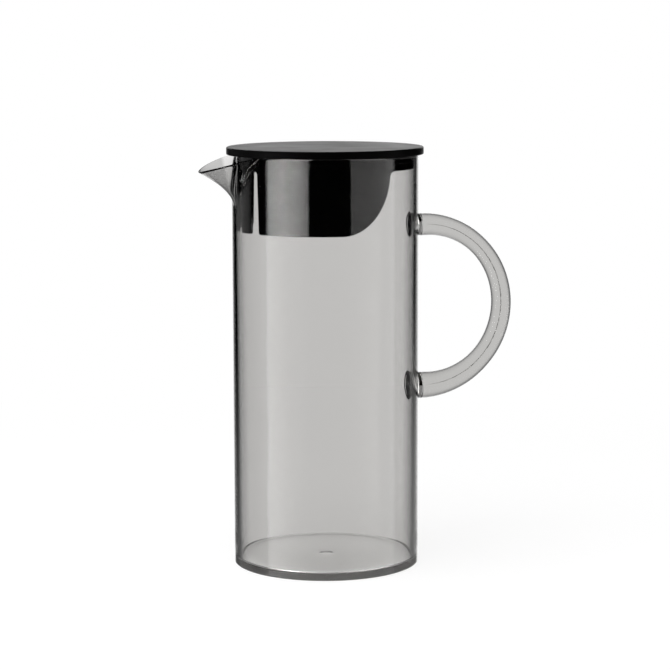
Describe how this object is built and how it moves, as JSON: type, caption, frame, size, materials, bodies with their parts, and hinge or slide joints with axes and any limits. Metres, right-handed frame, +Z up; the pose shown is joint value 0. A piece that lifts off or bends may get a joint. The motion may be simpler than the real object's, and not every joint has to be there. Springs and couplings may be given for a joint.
{
  "type": "lidded jug",
  "caption": "Tall straight-sided clear jug with a pouring beak, a round C handle and a flat round lid whose skirt, part strainer and part cut away, turns inside the mouth.",
  "frame": {"origin": "middle of the jug's flat underside, on the jug's axis", "axes": "+Z up along the jug's axis, the beak along -X, the handle along +X, and the jug's plane of symmetry is the XZ plane"},
  "size_m": [0.1754, 0.1056, 0.2253],
  "materials": {
    "smoky_clear_plastic": "polished clear plastic with a light smoky grey tint",
    "smoky_clear_handle": "polished clear plastic bar with a light smoky grey tint",
    "matte_black_disc": "fine matte black with a satin sheen",
    "gloss_black_skirt": "smooth glossy black",
    "soft_black_seal": "soft matte black"
  },
  "bodies": {
    "jug": {"jug_body": "smoky_clear_plastic", "handle": "smoky_clear_handle"},
    "lid_seal": {"seal_ring": "soft_black_seal"},
    "lid": {"lid_disc": "matte_black_disc", "lid_skirt": "gloss_black_skirt"}
  },
  "joints": [
    {"name": "lid_lift", "type": "slide", "parent": "jug", "child": "lid_seal", "axis": [0, 0, 1], "range_m": [0, 0.06]},
    {"name": "lid_turn", "type": "hinge", "parent": "lid_seal", "child": "lid", "pos_m": [0, 0, 0.2213], "axis": [0, 0, 1], "continuous": true}
  ]
}
